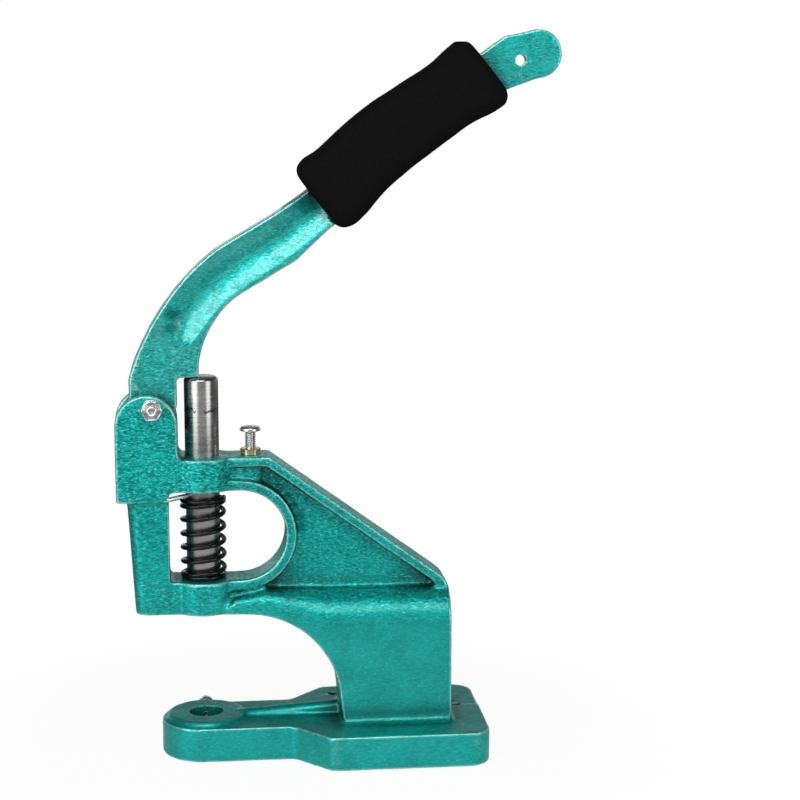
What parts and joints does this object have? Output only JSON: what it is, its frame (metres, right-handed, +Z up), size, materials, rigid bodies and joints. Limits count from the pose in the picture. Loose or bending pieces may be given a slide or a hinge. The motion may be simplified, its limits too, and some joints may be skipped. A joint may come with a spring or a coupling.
{
  "type": "eyelet machine",
  "caption": "Bench hand press for eyelets and snaps: cast C-frame on a flat base, sprung vertical ram in two lugs, curved cast hand lever with a foam grip.",
  "frame": {"origin": "on the ram's axis, at the underside of the base", "axes": "+Z up along the ram, +X to the back, +Y to the side with the die clamp screw"},
  "size_m": [0.2351, 0.0892, 0.3837],
  "materials": {
    "frame_enamel": "teal hammered enamel on a sand casting",
    "lever_enamel": "teal hammered enamel on a sand casting",
    "grip_foam": "matt black foam",
    "ram_steel": "ground steel",
    "pin_steel": "plain steel",
    "spring_steel": "glossy black finish",
    "zinc_plate": "zinc plated",
    "nut_brass": "plain turned brass"
  },
  "bodies": {
    "frame": {"base_casting": "frame_enamel", "frame_casting": "frame_enamel", "pivot_bolt": "zinc_plate", "pivot_nut": "zinc_plate", "return_spring": "spring_steel"},
    "lever": {"lever_casting": "lever_enamel", "lever_grip": "grip_foam"},
    "plunger": {"ram": "ram_steel", "ram_pin": "pin_steel"},
    "limit_screw": {"stop_screw": "zinc_plate"},
    "limit_nut": {"stop_lock_nut": "nut_brass"},
    "clamp_screw": {"die_clamp_screw": "zinc_plate"}
  },
  "joints": [
    {"name": "lever_pivot", "type": "hinge", "parent": "frame", "child": "lever", "pos_m": [-0.0258, 0, 0.1893], "axis": [0, 1, 0], "range_deg": [0, 48], "stiffness_Nm_per_rad": 5.3, "springref_deg": -14.32},
    {"name": "ram_slide", "type": "slide", "parent": "frame", "child": "plunger", "axis": [0, 0, -1], "range_m": [0, 0.0236], "deforming": ["return_spring"]},
    {"name": "limit_set", "type": "slide", "parent": "frame", "child": "limit_screw", "axis": [0, 0, 1], "range_m": [-0.004, 0.006]},
    {"name": "limit_lock", "type": "slide", "parent": "frame", "child": "limit_nut", "axis": [0, 0, 1], "range_m": [0, 0.005]},
    {"name": "die_clamp", "type": "slide", "parent": "frame", "child": "clamp_screw", "axis": [0, -1, 0], "range_m": [-0.004, 0.005]}
  ],
  "couplings": [
    {"joint": "ram_slide", "follows": "lever_pivot", "m_per_rad": 0.0281}
  ]
}
